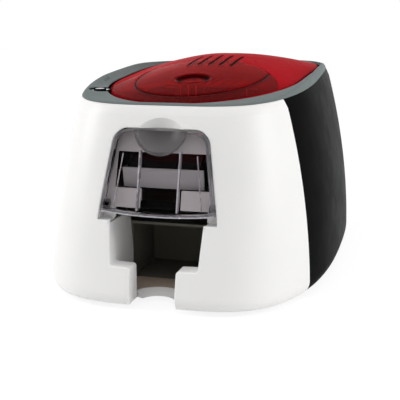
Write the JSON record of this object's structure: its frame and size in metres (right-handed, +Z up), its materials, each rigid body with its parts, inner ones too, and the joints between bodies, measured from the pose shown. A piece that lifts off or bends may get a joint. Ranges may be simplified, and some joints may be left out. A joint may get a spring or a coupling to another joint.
{
  "type": "id card printer",
  "caption": "Desktop plastic card printer with a domed hinged lid, a smoked card feeder cover that swings down and an open output pocket in the front.",
  "frame": {"origin": "on the floor under the middle of the housing", "axes": "+Z up, the front with the card feeder faces -Y, +X to the right as seen from the front"},
  "size_m": [0.2258, 0.3749, 0.172],
  "materials": {
    "white": "satin",
    "smoke": "clear smoked",
    "dark": "satin",
    "grey": "fine matt",
    "red": "tinted, glossy",
    "steel": "brushed",
    "chrome": "polished",
    "black": "matt",
    "rubber": "matt",
    "gear": "satin",
    "film": "glossy film",
    "board": "matt",
    "blue_roll": "tacky, satin"
  },
  "bodies": {
    "housing": {"front_shell": "white", "rear_shell": "dark", "top_bezel": "grey", "base_plate": "dark", "rubber_feet": "rubber", "output_tray": "white", "tray_bin": "black", "card_hopper": "white", "cover_pivots": "black", "left_side_frame": "steel", "right_side_frame": "steel", "tie_rods": "steel", "card_guide": "black", "shaft_bushes": "black", "lid_hinge_rod": "steel", "drive_motor": "steel", "ribbon_cassette": "dark", "ribbon_film": "film", "button_cup": "chrome", "button_spring": "steel", "indicator_lights": "white", "main_board": "board", "power_socket": "black", "usb_socket": "steel", "frame_screws": "steel"},
    "lid": {"lid_cover": "red", "lid_frame": "red", "head_bracket": "steel", "head_springs": "steel"},
    "print_head": {"print_head": "black"},
    "feeder_cover": {"feeder_cover": "smoke"},
    "hopper_presser": {"hopper_presser": "grey"},
    "power_button": {"power_button": "black"},
    "platen": {"platen_roller": "rubber", "platen_gear": "gear"},
    "front_feed": {"front_feed_roller": "rubber", "front_feed_gear": "gear"},
    "rear_feed": {"rear_feed_roller": "rubber", "rear_feed_gear": "gear"},
    "pick": {"pick_roller": "rubber", "pick_gear": "gear"},
    "cleaning_roller": {"cleaning_roller": "blue_roll"},
    "front_pinch": {"front_pinch_roller": "rubber"},
    "rear_pinch": {"rear_pinch_roller": "rubber"},
    "motor_pinion": {"motor_pinion": "gear"},
    "middle_idler": {"middle_idler_gear": "gear"},
    "rear_idler": {"rear_idler_gear": "gear"},
    "pick_idler": {"pick_idler_gear": "gear"},
    "supply_spool": {"ribbon_supply_spool": "film"},
    "takeup_spool": {"ribbon_takeup_spool": "film"}
  },
  "joints": [
    {"name": "lid_hinge", "type": "hinge", "parent": "housing", "child": "lid", "pos_m": [0, 0.1345, 0.15365], "axis": [-1, 0, 0], "range_deg": [0, 42]},
    {"name": "head_slide", "type": "slide", "parent": "lid", "child": "print_head", "axis": [0, 0, 1], "range_m": [0, 0.0015], "stiffness_N_per_m": 400, "springref_m": -0.003, "deforming": ["head_springs"]},
    {"name": "cover_hinge", "type": "hinge", "parent": "housing", "child": "feeder_cover", "pos_m": [0, -0.1666, 0.0724], "axis": [1, 0, 0], "range_deg": [0, 70]},
    {"name": "presser_hinge", "type": "hinge", "parent": "housing", "child": "hopper_presser", "pos_m": [0, -0.122, 0.106], "axis": [-1, 0, 0], "range_deg": [0, 10]},
    {"name": "button_press", "type": "slide", "parent": "housing", "child": "power_button", "axis": [0, 0, -1], "range_m": [0, 0.0012], "stiffness_N_per_m": 800, "springref_m": -0.0006, "deforming": ["button_spring"]},
    {"name": "platen_spin", "type": "hinge", "parent": "housing", "child": "platen", "pos_m": [0, -0.01, 0.064], "axis": [1, 0, 0], "continuous": true},
    {"name": "front_feed_spin", "type": "hinge", "parent": "housing", "child": "front_feed", "pos_m": [0, -0.072, 0.066], "axis": [1, 0, 0], "continuous": true},
    {"name": "rear_feed_spin", "type": "hinge", "parent": "housing", "child": "rear_feed", "pos_m": [0, 0.025, 0.066], "axis": [1, 0, 0], "continuous": true},
    {"name": "pick_spin", "type": "hinge", "parent": "housing", "child": "pick", "pos_m": [0, -0.095, 0.0635], "axis": [1, 0, 0], "continuous": true},
    {"name": "cleaning_spin", "type": "hinge", "parent": "housing", "child": "cleaning_roller", "pos_m": [0, -0.04, 0.0799], "axis": [1, 0, 0], "continuous": true},
    {"name": "front_pinch_spin", "type": "hinge", "parent": "housing", "child": "front_pinch", "pos_m": [0, -0.072, 0.0779], "axis": [1, 0, 0], "continuous": true},
    {"name": "rear_pinch_spin", "type": "hinge", "parent": "housing", "child": "rear_pinch", "pos_m": [0, 0.025, 0.0779], "axis": [1, 0, 0], "continuous": true},
    {"name": "pinion_spin", "type": "hinge", "parent": "housing", "child": "motor_pinion", "pos_m": [0, -0.0425, 0.02926], "axis": [1, 0, 0], "continuous": true},
    {"name": "middle_idler_spin", "type": "hinge", "parent": "housing", "child": "middle_idler", "pos_m": [0, -0.0425, 0.05826], "axis": [1, 0, 0], "continuous": true},
    {"name": "rear_idler_spin", "type": "hinge", "parent": "housing", "child": "rear_idler", "pos_m": [0, 0.00892, 0.06229], "axis": [1, 0, 0], "continuous": true},
    {"name": "pick_idler_spin", "type": "hinge", "parent": "housing", "child": "pick_idler", "pos_m": [0, -0.07932, 0.05466], "axis": [1, 0, 0], "continuous": true},
    {"name": "supply_spin", "type": "hinge", "parent": "housing", "child": "supply_spool", "pos_m": [0, -0.058, 0.112], "axis": [1, 0, 0], "continuous": true},
    {"name": "takeup_spin", "type": "hinge", "parent": "housing", "child": "takeup_spool", "pos_m": [0, 0.038, 0.112], "axis": [1, 0, 0], "continuous": true}
  ],
  "couplings": [
    {"joint": "middle_idler_spin", "follows": "platen_spin", "ratio": -0.43478},
    {"joint": "front_feed_spin", "follows": "platen_spin", "ratio": 1.3333},
    {"joint": "rear_idler_spin", "follows": "platen_spin", "ratio": -1.1111},
    {"joint": "rear_feed_spin", "follows": "platen_spin", "ratio": 1.3333},
    {"joint": "pick_idler_spin", "follows": "platen_spin", "ratio": -1.6667},
    {"joint": "pick_spin", "follows": "platen_spin", "ratio": 0.83333},
    {"joint": "pinion_spin", "follows": "platen_spin", "ratio": 1.6667}
  ]
}
